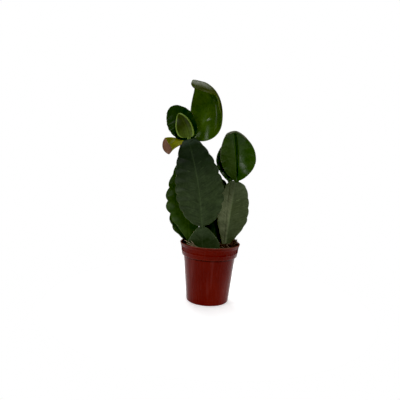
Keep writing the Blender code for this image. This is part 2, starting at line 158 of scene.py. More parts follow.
# Pads
PAD_DEFAULTS = dict(
    parent=None, base=(0, 0, 0), lean=0, recline=0, turn=0, length=0.05, stalk=0, left=0.015, right=0.015,
    widest=0.5, base_taper=0.8, tip_taper=0.55, neck=0.0022, tip=0.0022, bend=0, curl=0, curl_from=0.6,
    sweep=0, hook=0, twist=0, fold=4, cup_left=10, cup_right=10, trim=0, trim_at=0.76, trim_reach=0.14,
    lobes=6, lobe_depth=0.0008, lobe_shift=0, wave=0.0004, body=0.002, edge=0.0011, rib=0.001,
    colour="glossy_green",
)
RIB_REACH = 0.0022
NECK_BULK = 0.001
NECK_REACH = 0.007
SOLID_ROWS = 24
PADS = dict(
    pad_front_base=dict(
        base=(-0.0068, -0.0119, 0.043), lean=-3.6, recline=-6, length=0.0353, stalk=0.1, left=0.0152,
        right=0.0171, widest=0.36, base_taper=0.62, tip_taper=0.9, neck=0.003, tip=0.003, cup_left=6,
        cup_right=6, lobes=3, lobe_depth=0.0004, body=0.0026, wave=0.0002, rib=0.0006, colour="dull_green",
    ),
    pad_front_large=dict(
        parent="pad_front_base", lean=-4.6, recline=4, length=0.0851, left=0.0232, right=0.0241, widest=0.4,
        base_taper=0.78, tip_taper=0.73, neck=0.003, tip=0.0054, bend=4, sweep=-15.1, cup_left=8,
        cup_right=8, lobes=9.1, lobe_depth=0.0011, lobe_shift=-0.1, body=0.0026, colour="dull_green",
    ),
    pad_left=dict(
        base=(-0.0194, -0.003, 0.043), lean=-3.5, recline=6, length=0.1002, stalk=0.17, left=0.0219,
        right=0.0193, widest=0.46, base_taper=1.6, tip_taper=0.93, neck=0.003, tip=0.0025, sweep=-7.8,
        lobes=7.6, lobe_depth=0.0028, lobe_shift=0.02, wave=0.001,
    ),
    pad_left_back=dict(
        base=(-0.0148, 0.0055, 0.043), lean=-20.2, recline=8, length=0.0581, stalk=0.25, left=0.0141,
        right=0.014, widest=0.55, base_taper=0.97, tip_taper=0.48, neck=0.003, tip=0.0025, lobes=4.9,
        lobe_depth=0.0016, lobe_shift=0.38, wave=0.0008,
    ),
    pad_back=dict(
        base=(0.0024, 0.012, 0.043), lean=3.6, recline=4, length=0.0802, stalk=0.05, left=0.0157,
        right=0.0172, widest=0.45, base_taper=0.88, tip_taper=0.63, neck=0.003, tip=0.0025,
        lobe_depth=0.0012, colour="dull_green",
    ),
    pad_right_base=dict(
        base=(0.015, 0.0, 0.043), lean=3.3, recline=3, length=0.0796, stalk=0.13, left=0.013, right=0.019,
        base_taper=1.58, tip_taper=0.46, neck=0.0032, tip=0.004, sweep=4.4, fold=-12, cup_left=1,
        cup_right=1, lobes=7.9, lobe_depth=0.0007, lobe_shift=-0.42, rib=0.0016, wave=0.0006,
        colour="grey_green",
    ),
    pad_right_folded=dict(
        parent="pad_right_base", base=(0.0006, 0, 0), lean=-2.5, recline=0.3, length=0.0537, left=0.0161,
        right=0.0222, widest=0.48, base_taper=0.77, tip_taper=0.8, neck=0.0025, bend=40, curl=197.3,
        curl_from=0.93, sweep=-18, fold=16, cup_left=5, cup_right=30.8, lobe_depth=0.0003,
    ),
    pad_right_rear=dict(
        parent="pad_right_base", base=(-0.0062, 0.002, -0.0004), lean=2.8, recline=8, length=0.0403,
        left=0.0146, right=0.0111, tip_taper=0.77, neck=0.0025, sweep=-15, lobe_depth=0.0004,
    ),
    pad_top_hooked=dict(
        parent="pad_front_large", base=(0.0062, 0.0029, 0), lean=34.3, recline=8, length=0.075, left=0.0192,
        right=0.0313, widest=0.51, base_taper=0.71, tip_taper=0.65, neck=0.0025, bend=48, curl=130.8,
        curl_from=0.35, sweep=-44.3, hook=16.2, twist=-52.6, fold=4.1, cup_left=6.3, cup_right=78, trim=0.3,
        lobe_depth=0, wave=0,
    ),
    pad_top_round=dict(
        parent="pad_front_large", base=(0.002, 0.0005, 0), lean=-26.7, recline=5, length=0.0356,
        left=0.0142, right=0.0137, widest=0.47, base_taper=0.45, tip_taper=0.69, neck=0.0025, sweep=-17.5,
        lobe_depth=0.0006,
    ),
    pad_top_young=dict(
        parent="pad_front_large", base=(0.001, -0.0025, 0.0011), lean=-11.3, recline=-10, length=0.0246,
        left=0.0114, right=0.0071, widest=0.37, base_taper=0.52, tip_taper=0.71, tip=0.0008, sweep=-30,
        fold=10, cup_left=35, cup_right=35, lobe_depth=0, wave=0, colour="young_green",
    ),
    pad_bud_red=dict(
        parent="pad_front_large", base=(-0.0051, -0.0005, -0.0039), lean=-103.4, recline=2.4, turn=51.5,
        length=0.0316, left=0.0066, right=0.011, widest=0.63, base_taper=0.46, tip_taper=0.82, neck=0.0018,
        tip=0.002, curl=195.7, curl_from=0.2, sweep=-57.5, hook=-33.2, twist=-73.1, fold=3.4, cup_left=41.2,
        cup_right=79.1, lobe_depth=0, wave=0, rib=0.0006, colour="young_yellow",
    ),
)

# The fine mesh of a pad
ROW_STEP = 0.00065
COLUMN_STEP = 0.0007
LEAST_ROWS = 40
LEAST_COLUMNS = 14
MARGIN_STEPS = 6
# How much closer the rows stand at both ends of a pad
END_GATHERING = 0.35
# A pad that grows from another starts a little inside it
JOINT_OVERLAP = 0.0022
JOINT_ROWS = 6
LEAST_TIP_ROUND = 0.0016
# The least share of its size that a rounded end keeps, squared
LEAST_END = 0.0004
# The rounded margin takes this share of the edge's thickness, or of the half width where that is less
MARGIN_OF_EDGE = 0.8
MARGIN_OF_WIDTH = 0.6
CREASE_REACH = 0.0011
TIP_BULK_REACH = 0.0055
FULL_THICKNESS = 0.001
VEIN_RISE = 0.55
VEIN_WIDTH = 0.0007
VEIN_START = 0.003
VEIN_RELIEF = 0.00005
# A slow unevenness of the fleshy blade: its height, and how many waves a metre holds
UNEVENNESS = 0.00022
UNEVEN_SCALE = 110

# What the fine mesh adds to a pad's form. A lip on a side is (turn in degrees, width, where it starts, where
# it is full). A groove is (place beside the midrib at the foot, the middle and the tip, depth, half width).
# A swelling is (place along, place beside the midrib, half length, half width, turn in degrees, height).
NO_LIP = (0, 0.001, 0, 1)
SHAPING = dict(
    pad_front_large=dict(tip_bulk=0.0026, tip_round=0.0024, notch=0.001, relief=0.00012),
    pad_front_base=dict(relief=0.00006),
    pad_left=dict(relief=0.00008, smooth=0.5),
    pad_right_base=dict(
        grooves=[(-0.0016, -0.003, -0.0056, 0.0004, 0.0006)], notch=0.0006, relief=0.00007,
    ),
    pad_right_folded=dict(
        lips=dict(right=(125, 0.0024, 0.7, 0.86), left=(80, 0.0016, 0.25, 0.6)),
        grooves=[(0.0, 0.002, 0.004, 0.001, 0.0009)], smooth=0.5,
    ),
    pad_top_hooked=dict(
        swellings=[(0.278, 0.0036, 0.0036, 0.0019, 45, 0.0005), (0.455, 0.001, 0.0075, 0.0022, 35, 0.00045)],
        relief=0.00001, smooth=0.06,
    ),
    pad_top_round=dict(relief=0.00002, smooth=0.4),
    pad_top_young=dict(lips=dict(right=(55, 0.002, 0.05, 0.3), left=(40, 0.0012, 0.05, 0.3)), smooth=0.4),
)

# Finish of each pad: its dark and light tones, those near the tip and underneath, how rough it is, and how
# strongly the midrib, veins, rim, dots and other marks show, from 0 to 1
LOOK_DEFAULTS = dict(
    rib=0.2, veins=0.2, groove=0.8, rim=0.2, rim_width=0.75, dots=0.2, streaks=0.2, marks=0.0, blotch=0.22,
    under_rim=0.0, tip_from=0.62, tip_to=0.98, gloss=0.14,
)
LOOKS = dict(
    pad_front_base=dict(
        deep=(0.035, 0.056, 0.0227), light=(0.06, 0.084, 0.0386), tip=(0.041, 0.062, 0.0266),
        under=(0.06, 0.08, 0.045), rib=0.18, veins=0.25, rough=0.44, rim=0.55, dots=0.5, blotch=0.3,
        streaks=0.45,
    ),
    # Its tip tones darken its upper half: partly the tip's own bluish tone, partly painted shade, as its
    # lower half catches more light
    pad_front_large=dict(
        deep=(0.029, 0.044, 0.0181), light=(0.05, 0.074, 0.0303), tip=(0.01, 0.018, 0.0081),
        under=(0.06, 0.08, 0.045), cap=(0.034, 0.05, 0.033), tip_from=0.35, tip_to=0.8, rib=0.28,
        veins=0.45, rough=0.46, rim=0.25, dots=0.7, blotch=0.3, streaks=0.6, marks=0.35,
    ),
    pad_left=dict(
        deep=(0.028, 0.056, 0.0141), light=(0.05, 0.088, 0.0188), tip=(0.025, 0.047, 0.0091),
        under=(0.06, 0.09, 0.035), veins=0.25, rough=0.34, gloss=0.06, tip_from=0.35, tip_to=0.8,
    ),
    pad_left_back=dict(
        deep=(0.018, 0.036, 0.0078), light=(0.033, 0.059, 0.0114), tip=(0.029, 0.051, 0.0114),
        under=(0.06, 0.09, 0.035), veins=0.25, rough=0.28, rim=0.35, gloss=0.09,
    ),
    pad_back=dict(
        deep=(0.018, 0.029, 0.0084), light=(0.031, 0.048, 0.0143), tip=(0.025, 0.039, 0.0117),
        under=(0.04, 0.055, 0.028), veins=0.25, rough=0.45, dots=0.3,
    ),
    # Its paler left tones are partly this pad's own dusty grey and partly painted light on the half that
    # faces the light
    pad_right_base=dict(
        deep=(0.066, 0.087, 0.0336), light=(0.09, 0.118, 0.0528), tip=(0.081, 0.105, 0.0496),
        left_deep=(0.18, 0.21, 0.1035), left_light=(0.24, 0.27, 0.1495), under=(0.085, 0.105, 0.06),
        rib=0.55, groove=0.55, veins=0.3, rough=0.52, rim=0.5, dots=0.9, blotch=0.25, streaks=0.4,
        marks=0.6,
    ),
    pad_right_folded=dict(
        deep=(0.022, 0.053, 0.0067), light=(0.038, 0.079, 0.0092), tip=(0.024, 0.053, 0.0076),
        left_deep=(0.04, 0.068, 0.0187), left_light=(0.063, 0.1, 0.0281), under=(0.12, 0.13, 0.08), rib=0.0,
        rough=0.24, rim=0.35, gloss=0.1,
    ),
    pad_right_rear=dict(
        deep=(0.019, 0.04, 0.0075), light=(0.03, 0.06, 0.01), tip=(0.026, 0.052, 0.009),
        under=(0.08, 0.095, 0.05), rough=0.26, gloss=0.09,
    ),
    pad_top_hooked=dict(
        deep=(0.036, 0.075, 0.01), light=(0.064, 0.109, 0.0138), tip=(0.043, 0.075, 0.0112),
        under=(0.036, 0.046, 0.0073), rib=0.08, rough=0.22, rim=0.35, dots=0.15, under_rim=0.6,
    ),
    pad_top_round=dict(
        deep=(0.014, 0.032, 0.0067), light=(0.024, 0.047, 0.009), tip=(0.018, 0.038, 0.0077),
        under=(0.06, 0.08, 0.03), rib=0.12, rough=0.26, gloss=0.06,
    ),
    pad_top_young=dict(
        deep=(0.05, 0.074, 0.016), light=(0.1, 0.15, 0.024), tip=(0.024, 0.033, 0.0063),
        under=(0.09, 0.13, 0.03), rib=0.1, veins=0.12, rough=0.36, rim=1.0, rim_width=1.6, dots=0.1,
        tip_from=0.15, tip_to=0.6,
    ),
    pad_bud_red=dict(
        deep=(0.166, 0.181, 0.0063), light=(0.241, 0.244, 0.0081), tip=(0.216, 0.185, 0.0081),
        under=(0.161, 0.081, 0.048), rib=0.1, veins=0.1, rough=0.42, rim=0.4, dots=0.1,
    ),
)

# Seen from the front, 0.44 m away and a little from above, with a slight roll
CAMERA_PLACE = (-0.0123, -0.44, 0.1495)
CAMERA_DOWN = 6.25
CAMERA_ROLL = 2.97
LENS = 40.095
CLIP_START = 0.01

FLOOR_RADIUS = 0.16
FLOOR_STEPS = 96
FLOOR_GLOW = 0.45
SKY_LIGHT = 0.02
BLACK_LEVEL = 0.007
# Each light is (name, place, where it aims, size, watts)
LIGHTS = [
    ("overhead", (0.0, 0.2, 1.05), (0, 0, 0.05), (0.8, 0.8), 8),
    ("window_left", (-0.7, -0.51, 0.57), (0, 0, 0.12), (0.16, 0.22), 2.0),
    ("front", (0.16, -0.82, 0.56), (0, 0, 0.12), (0.3, 0.3), 2.8),
    ("low_left", (-0.36, -0.51, -0.27), (0, 0, 0.14), (0.1, 0.22), 1.0),
    ("back", (-0.25, 0.85, 0.5), (0, 0, 0.1), (0.4, 0.4), 3.0),
    ("strip_right", (0.85, -0.2, 0.25), (0, 0, 0.05), (0.08, 0.6), 0.8),
    ("strip_left", (-0.85, 0.25, 0.25), (0, 0, 0.05), (0.08, 0.6), 0.4),
]


# Sums and meshes

def smooth(t):
    t = np.clip(t, 0, 1)
    return t * t * (3 - 2 * t)


def bell(t):
    """1 at 0, and falling away on both sides."""
    return np.exp(-(t**2))


def circle(radius, height, steps):
    turns = [2 * pi * k / steps for k in range(steps)]
    return [(radius * cos(angle), radius * sin(angle), height) for angle in turns]


def bands(start, rings, steps):
    """Faces between rings of points that follow each other in a list."""
    faces = []
    for r in range(rings - 1):
        a = start + r * steps
        b = a + steps
        for k in range(steps):
            n = (k + 1) % steps
            faces.append((a + k, a + n, b + n, b + k))
    return faces


def new_object(name, points, faces, material):
    mesh = bpy.data.meshes.new(name)
    mesh.from_pydata([tuple(p) for p in points], [], faces)
    mesh.materials.append(material)
    obj = bpy.data.objects.new(name, mesh)
    bpy.context.scene.collection.objects.link(obj)
    return obj


def new_piece(name, points, faces, material, slot):
    piece = new_object(name, points, faces, material)
    piece.data.shade_smooth()
    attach(piece, "root")
    return piece


class Bits:
    """Small shapes that share one mesh."""

    def __init__(self, rng):
        self.rng = rng
        self.points = []
        self.faces = []

    def tube(self, path, radii, sides):
        """A tapered tube along a path, closed at its ends."""
        start, last = len(self.points), len(path) - 1
        for i, p in enumerate(path):
            ahead = (path[min(i + 1, last)] - path[max(i - 1, 0)]).normalized()
            side = ahead.cross(Vector((0.3, 0.2, 1))).normalized()
            other = ahead.cross(side)
            for k in range(sides):
                angle = 2 * pi * k / sides
                self.points.append(p + (side * cos(angle) + other * sin(angle)) * radii[i])
        self.faces += bands(start, len(path), sides)
        self.faces.append([start + k for k in range(sides - 1, -1, -1)])
        self.faces.append([start + last * sides + k for k in range(sides)])

    def lump(self, centre, size, stretch=1.0):
        """An irregular crumb."""
        uniform = self.rng.uniform
        ball = bmesh.new()
        bmesh.ops.create_icosphere(ball, subdivisions=2, radius=1)
        turn = Euler(uniform(0, 2 * pi, 3)).to_matrix()
        shift = Vector(uniform(0, 50, 3))
        scale = Vector((uniform(0.8, 1.2) * stretch, uniform(0.6, 1.0), uniform(0.45, 0.8)))
        start = len(self.points)
        for v in ball.verts:
            p = v.co * (1 + 0.55 * noise.noise(v.co * 1.4 + shift) + 0.18 * noise.noise(v.co * 4 + shift))
            self.points.append(centre + turn @ (p * scale) * size)
        self.faces += [[start + v.index for v in f.verts] for f in ball.faces]
        ball.free()

    def finish(self, name, material, slot):
        new_piece(name, self.points, self.faces, material, slot)


# Form of a pad, as in the source of the solids

def pad_shape(name):
    return {**PAD_DEFAULTS, **PADS[name]}


def start_frame(shape):
    upright = Matrix(((1, 0, 0), (0, 0, -1), (0, 1, 0)))
    lean = Matrix.Rotation(radians(shape["lean"]), 3, "Y")
    recline = Matrix.Rotation(-radians(shape["recline"]), 3, "X")
    turn = Matrix.Rotation(radians(shape["turn"]), 3, "Y")
    return lean @ recline @ upright @ turn


def stations(rows):
    return [i / rows - 0.6 * sin(2 * pi * i / rows) / (2 * pi) for i in range(rows + 1)]


def foot_of(name):
    shape = pad_shape(name)
    if shape["parent"] is None:
        return Vector(shape["base"])
    tip = spine(shape["parent"], stations(SOLID_ROWS))[-1][0]
    return tip + Vector(shape["base"])


def spine(name, places):
    """The centre point and frame of a pad at each place along it."""
    shape = pad_shape(name)
    point = foot_of(name)
    frame = start_frame(shape)
    found = [(point.copy(), frame.copy())]
    for before, after in zip(places, places[1:]):
        step = after - before
        late = 2 * max(0.0, (before + after) / 2 - shape["curl_from"]) / (1 - shape["curl_from"]) ** 2
        bend = radians(shape["bend"] + shape["curl"] * late) * step
        sweep = radians(shape["sweep"] + shape["hook"] * late) * step
        half = Matrix.Rotation(bend / 2, 3, "X") @ Matrix.Rotation(-sweep / 2, 3, "Z")
        twist = Matrix.Rotation(radians(shape["twist"]) * step, 3, "Y")
        point = point + (frame @ half).col[1] * shape["length"] * step
        frame = frame @ half @ half @ twist
        found.append((point.copy(), frame.copy()))
    return found


def lobe_shift(shape, side):
    return shape["lobe_shift"] + 0.5 * (side == "left")


def half_width(shape, along, side):
    blade = np.clip((along - shape["stalk"]) / (1 - shape["stalk"]), 0, 1)
    swell = np.abs(np.sin(pi * blade ** (log(0.5) / log(shape["widest"]))))
    low = blade < shape["widest"]
    swell = np.where(low, swell ** shape["base_taper"], swell ** shape["tip_taper"])
    end = np.where(low, shape["neck"], shape["tip"])
    lobe = np.abs(np.sin(pi * (shape["lobes"] * along + lobe_shift(shape, side))))
    width = end + (shape[side] - end) * swell - shape["lobe_depth"] * (1 - lobe**0.7) * swell
    if side == "right":
        width = width * (1 - shape["trim"] * bell((along - shape["trim_at"]) / shape["trim_reach"]))
    return width


# Fine mesh of a pad

def rounded_end(t):
    """The rounding of an end: nearly 0 where t is 0, and 1 from t = 1 on."""
    return np.sqrt(np.clip(1 - np.clip(1 - t, 0, 1) ** 2, LEAST_END, 1))


def fine_line(name):
    """The centre points and frames of a pad's rows, and their places along it as a column."""
    shape = pad_shape(name)
    rows = max(LEAST_ROWS, round(shape["length"] / ROW_STEP))
    places = [END_GATHERING * (0.5 - 0.5 * cos(pi * i / rows)) + (1 - END_GATHERING) * i / rows
              for i in range(rows + 1)]
    line = spine(name, places)
    if shape["parent"]:
        foot, frame = line[0]
        behind = [-JOINT_OVERLAP * (1 - i / JOINT_ROWS) / shape["length"] for i in range(JOINT_ROWS)]
        line = [(foot + frame.col[1] * shape["length"] * b, frame) for b in behind] + line
        places = behind + places
    return line, np.array(places)[:, None]


def summed(steps):
    return np.hstack([np.zeros((len(steps), 1)), np.cumsum(steps, axis=1)])


def pad_half(shape, shaping, side, along, ends, columns):
    """Half a pad: a row for each place along it, and a column for each step from the midrib to the margin."""
    length = shape["length"]
    notched = {**shape, "lobe_depth": shape["lobe_depth"] + shaping.get("notch", 0)}
    plain = half_width(notched, np.clip(along, 0, 1), side)
    share = plain / shape[side]
    lip_turn, lip_width, lip_start, lip_full = shaping.get("lips", {}).get(side, NO_LIP)
    lip = radians(lip_turn) * smooth((along - lip_start) / (lip_full - lip_start))
    width = (plain + lip_width * 0.75 * (1 - np.sinc(lip / pi))) * ends

    # Even steps as far as the margin, and a quarter turn round it
    limit = 1 - np.minimum(MARGIN_OF_EDGE * shape["edge"], MARGIN_OF_WIDTH * width) / width
    quarter = pi / 2 * np.arange(1, MARGIN_STEPS + 1) / MARGIN_STEPS
    reach = np.hstack([limit * np.arange(columns + 1) / columns, limit + (1 - limit) * np.sin(quarter)])
    rounded = np.concatenate([np.ones(columns + 1), np.cos(quarter)]) * ends

    # The blade turns up by its fold, its cup and its lip
    sign = -1 if side == "left" else 1
    from_rib = reach * width
    crease = 1 - bell(from_rib / CREASE_REACH)
    near_edge = np.clip(1 - (1 - reach) * width / lip_width, 0, 1)
    fold, cup = radians(shape["fold"]) * share, radians(shape["cup_" + side]) * share
    angle = fold * crease + cup * reach + lip * near_edge
    gap = np.diff(from_rib, axis=1)
    middle = (angle[:, 1:] + angle[:, :-1]) / 2
    out = summed(np.cos(middle) * gap)
    up = summed(np.sin(middle) * gap)
    up += shape["wave"] * np.sin(2 * pi * shape["lobes"] * along) * sign * reach * reach * share

    rib = shape["rib"] * bell(from_rib / RIB_REACH) * (1 - np.clip(along, 0, 1))
    neck = NECK_BULK * bell(along * length / NECK_REACH)
    thick = (shape["edge"] + (shape["body"] - shape["edge"]) * (1 - reach**2) + rib + neck) * rounded
    tip_bulk = shaping.get("tip_bulk", 0) * bell((1 - along) * length / TIP_BULK_REACH)

    sunk = np.zeros_like(reach)
    for foot_x, middle_x, tip_x, depth, half in shaping.get("grooves", []):
        beside = np.interp(along, [0, 0.5, 1], [foot_x, middle_x, tip_x])
        fade = np.clip(along / 0.1, 0, 1) * np.clip((1 - along) / 0.06, 0, 1)
        sunk += depth * bell((from_rib * sign - beside) / half) * fade
    for middle_at, beside, half_long, half_wide, turn, height in shaping.get("swellings", []):
        ahead, aside = (along - middle_at) * length, from_rib * sign - beside
        turn = radians(turn)
        lengthways, sideways = ahead * cos(turn) + aside * sin(turn), aside * cos(turn) - ahead * sin(turn)
        sunk -= height * bell(lengthways / half_long) * bell(sideways / half_wide)

    # A vein rises from the midrib to each notch
    phase = shape["lobes"] * (along + (1 - reach) * VEIN_RISE * width / length) + lobe_shift(shape, side)
    vein = bell(np.sin(pi * phase) * length / max(shape["lobes"], 1) / pi / VEIN_WIDTH)
    vein *= np.clip(from_rib / VEIN_START, 0, 1) * (1 - reach**6)
    return dict(out=out * sign, up=up, normal_out=-np.sin(angle) * sign, normal_up=np.cos(angle), thick=thick,
                reach=reach * sign, from_rib=from_rib * sign, width=width, vein=vein,
                bulk=tip_bulk * (1 - reach**4) * rounded, sunk=sunk)


def pad_face(halves, face, shaping):
    """The points of one face (1) or the underside (-1) in each row's frame, and what the material reads."""
    def grid(key):
        left, right = halves["left"][key], halves["right"][key]
        if face > 0:
            return np.hstack([left[:, :0:-1], right])
        return np.hstack([right[:, -2:0:-1], left[:, :-1]])

    out, up, thick, vein, reach = grid("out"), grid("up"), grid("thick"), grid("vein"), grid("reach")
    full = np.minimum(1, thick / FULL_THICKNESS)
    lift = face * thick / 2 - shaping.get("relief", VEIN_RELIEF) * vein * full
    if face > 0:
        lift = lift + grid("bulk") - grid("sunk") * full
    out, up = out + grid("normal_out") * lift, up + grid("normal_up") * lift
    local = np.stack([out, np.zeros_like(out), up], axis=-1)
    width = np.where(reach < 0, halves["left"]["width"], halves["right"]["width"])
    edge = (1 - np.abs(reach)) * width * 1000
    return local, {
        "from_rib": grid("from_rib") * 1000,
        "edge": edge,
        "face": face * np.clip(3 * edge, 0, 1),
        "vein": vein,
        "groove": np.maximum(0, grid("sunk")) * 1000,
    }


def make_pad(name, number):
    """A closed blade: loops of points run over its face and back over its underside."""
    shape, shaping = pad_shape(name), SHAPING.get(name, {})
    line, along = fine_line(name)
    tip_run = shaping.get("tip_round", max(shape["tip"], LEAST_TIP_ROUND)) / shape["length"]
    foot_run = shape["neck"] / shape["length"]
    ends = rounded_end((1 - along) / tip_run) * rounded_end((along - along[0]) / foot_run)
    columns = max(LEAST_COLUMNS, round(max(shape["left"], shape["right"]) / COLUMN_STEP))
    halves = {side: pad_half(shape, shaping, side, along, ends, columns) for side in ("left", "right")}
    over, under = (pad_face(halves, face, shaping) for face in (1, -1))
    local = np.concatenate([over[0], under[0]], axis=1)
    data = {key: np.hstack([over[1][key], under[1][key]]) for key in over[1]}
    rows, around = local.shape[:2]
    centres = np.array([tuple(centre) for centre, frame in line])
    frames = np.array([[tuple(row) for row in frame] for centre, frame in line])
    points = (centres[:, None, :] + np.einsum("nij,nkj->nki", frames, local)).reshape(-1, 3)
    uneven = UNEVENNESS * shaping.get("smooth", 1) * ends
    shift = Vector((number * 7.3, 0, 0))
    for i, p in enumerate(points):
        row = i // around
        height = uneven[row] * noise.noise(Vector(p) * UNEVEN_SCALE + shift)
        points[i] = p + frames[row][:, 2] * height

    faces = bands(0, rows, around)
    faces.append(tuple(range(around - 1, -1, -1)))
    faces.append(tuple((rows - 1) * around + k for k in range(around)))
    pad = new_piece(name + "_fine", points, faces, pad_material(name), shape["colour"])
    data["along"] = np.clip(along, 0, 1).repeat(around, axis=1)
    for key, values in data.items():
        layer = pad.data.attributes.new(key, "FLOAT", "POINT")
        layer.data.foreach_set("value", values.astype(np.float32).ravel())
    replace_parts(pad, name)
    return pad, line, along, halves


# Materials

class Graph:
    """Short ways to add nodes to a material."""

    def __init__(self, name):
        self.material = bpy.data.materials.new(name)
        self.material.use_nodes = True
        self.tree = self.material.node_tree
        self.shader = self.tree.nodes["Principled BSDF"]
        self.colour = None

    def put(self, socket, value):
        if isinstance(value, bpy.types.NodeSocket):
            self.tree.links.new(value, socket)
        elif socket.type == "RGBA":
            socket.default_value = (*value, 1)
        else:
            socket.default_value = value

    def node(self, kind, *inputs, **settings):
        node = self.tree.nodes.new("ShaderNode" + kind)
        for key, value in settings.items():
            setattr(node, key, value)
        for i, value in enumerate(inputs):
            self.put(node.inputs[i], value)
        return node

    def attribute(self, name):
        return self.node("Attribute", attribute_name=name).outputs["Fac"]

    def place(self):
        return self.node("TexCoord").outputs["Object"]

    def plus(self, a, b):
        return self.node("Math", a, b, operation="ADD").outputs[0]

    def minus(self, a, b):
        return self.node("Math", a, b, operation="SUBTRACT").outputs[0]

    def times(self, a, *factors):
        for b in factors:
            a = self.node("Math", a, b, operation="MULTIPLY").outputs[0]
        return a

    def size(self, a):
        return self.node("Math", a, operation="ABSOLUTE").outputs[0]

    def spread(self, value, low, high, to_low=0.0, to_high=1.0):
        """From low..high to to_low..to_high, held at the ends."""
        inputs = (value, low, high, to_low, to_high)
        return self.node("MapRange", *inputs, interpolation_type="SMOOTHSTEP").outputs[0]

    def fade(self, value, low, high, most=1.0):
        return self.spread(value, low, high, most, 0.0)

    def mix(self, share, a, b):
        node = self.node("Mix", share, data_type="RGBA")
        self.put(node.inputs[6], a)
        self.put(node.inputs[7], b)
        return node.outputs[2]

    def over(self, share, tone):
        """Lays a tone over the colour so far."""
        self.colour = self.mix(share, self.colour, tone)

    def noise(self, vector, scale, detail=3.0, roughness=0.55, distortion=0.0):
        node = self.node("TexNoise")
        names = ("Vector", "Scale", "Detail", "Roughness", "Distortion")
        for name, value in zip(names, (vector, scale, detail, roughness, distortion)):
            self.put(node.inputs[name], value)
        return node.outputs["Fac"]

    def cells(self, vector, scale):
        node = self.node("TexVoronoi")
        self.put(node.inputs["Vector"], vector)
        self.put(node.inputs["Scale"], scale)
        return node.outputs["Distance"]

    def combine(self, x, y, z):
        return self.node("CombineXYZ", x, y, z).outputs[0]

    def bump(self, height, strength, distance):
        node = self.node("Bump")
        self.put(node.inputs["Height"], height)
        self.put(node.inputs["Strength"], strength)
        self.put(node.inputs["Distance"], distance)
        return node.outputs["Normal"]

    def finish(self, roughness, specular, normal=None):
        self.put(self.shader.inputs["Base Color"], self.colour)
        self.put(self.shader.inputs["Roughness"], roughness)
        self.put(self.shader.inputs["Specular IOR Level"], specular)
        if normal is not None:
            self.put(self.shader.inputs["Normal"], normal)
        return self.material


def pad_material(name):
    look = {**LOOK_DEFAULTS, **LOOKS[name]}
    g = Graph(name + "_skin")
    place = g.place()

    def shade(key, share):
        return tuple(c * share for c in look[key])

    along = g.attribute("along")
    edge = g.attribute("edge")
    from_rib = g.attribute("from_rib")
    off_rib = g.size(from_rib)

    # Broad patches, fibres that run along the pad, and a fine grain
    broad = g.noise(place, 75.0, 3.0, 0.6)
    strands = g.noise(g.combine(from_rib, g.times(along, 6.0), 0.0), 1.9, 3.0, 0.6)
    fine = g.noise(place, 520.0, 4.0, 0.65)
    tone = g.plus(g.plus(g.times(broad, 0.55), g.times(strands, 0.3)), g.times(fine, 0.15))
    toned = g.spread(tone, 0.34, 0.66)
    g.colour = g.mix(toned, look["deep"], look["light"])
    if "left_deep" in look:
        left = g.mix(toned, look["left_deep"], look["left_light"])
        g.over(g.fade(from_rib, -0.6, 0.2), left)
    tip = g.mix(toned, shade("tip", 0.8), shade("tip", 1.2))
    g.over(g.spread(along, look["tip_from"], look["tip_to"], 0.0, 0.9), tip)
    if "cap" in look:
        g.over(g.spread(along, 0.9, 0.975), look["cap"])

    # Dark veins, painted shade in the grooves, a pale midrib and a pale rim
    pale = shade("light", 2.1)
    vein_mark = g.times(g.spread(g.attribute("vein"), 0.35, 0.95), look["veins"])
    g.over(vein_mark, shade("deep", 0.55))
    g.over(g.times(g.fade(off_rib, 0.25, 0.75), g.spread(along, 0.55, 0.97, 1.0, 0.25), look["rib"]), pale)
    g.over(g.spread(g.attribute("groove"), 0.1, 0.6, 0.0, look["groove"]), shade("deep", 0.3))
    g.over(g.times(g.fade(edge, 0.2 * look["rim_width"], look["rim_width"]), look["rim"]), pale)

    # Tiny pale dots of the skin
    dots = g.fade(g.cells(place, 1150.0), 0.1, 0.22)
    where = g.spread(g.noise(place, 210.0, 2.0), 0.5, 0.66)
    g.over(g.times(dots, where, look["dots"]), shade("light", 2.4))

    # Faint dark streaks and pale marks rise from the midrib to the margins
    rising = g.minus(g.times(along, pad_shape(name)["length"] * 1000), g.times(off_rib, 0.55))
    streak_place = g.combine(rising, g.times(from_rib, 0.14), 0.0)
    streaks = g.noise(streak_place, 0.95, 4.0, 0.65)
    g.over(g.spread(streaks, 0.46, 0.66, 0.0, look["streaks"]), shade("deep", 0.45))
    marks = g.spread(g.noise(streak_place, 0.62, 2.0, 0.4), 0.705, 0.745, 0.0, look["marks"])
    g.over(marks, shade("light", 2.2))

    # Blotches of darker, duller skin
    g.over(g.spread(g.noise(place, 330.0, 5.0, 0.7), 0.44, 0.62, 0.0, look["blotch"]), shade("deep", 0.5))

    underside = g.fade(g.attribute("face"), -0.4, 0.4)
    under = g.mix(g.spread(tone, 0.36, 0.64), shade("under", 0.82), shade("under", 1.15))
    under = g.mix(g.times(vein_mark, 0.8), under, shade("under", 1.4))
    # Where under_rim asks, the underside turns paler near the margin: partly the rolled edge's own paler
    # tone, partly painted light on that edge
    under = g.mix(g.fade(edge, 0.6, 3.2, look["under_rim"]), under, shade("under", 1.9))
    g.over(underside, under)

    rough = g.spread(g.noise(place, 160.0, 3.0), 0.35, 0.68, look["rough"] - 0.05, look["rough"] + 0.09)
    rough = g.plus(rough, g.times(underside, 0.12))
    skin = g.plus(g.cells(place, 2300.0), g.times(fine, 1.4))
    skin = g.plus(skin, g.times(streaks, look["streaks"] * 6.0))
    return g.finish(rough, look["gloss"], g.bump(skin, 0.22, 0.00005))


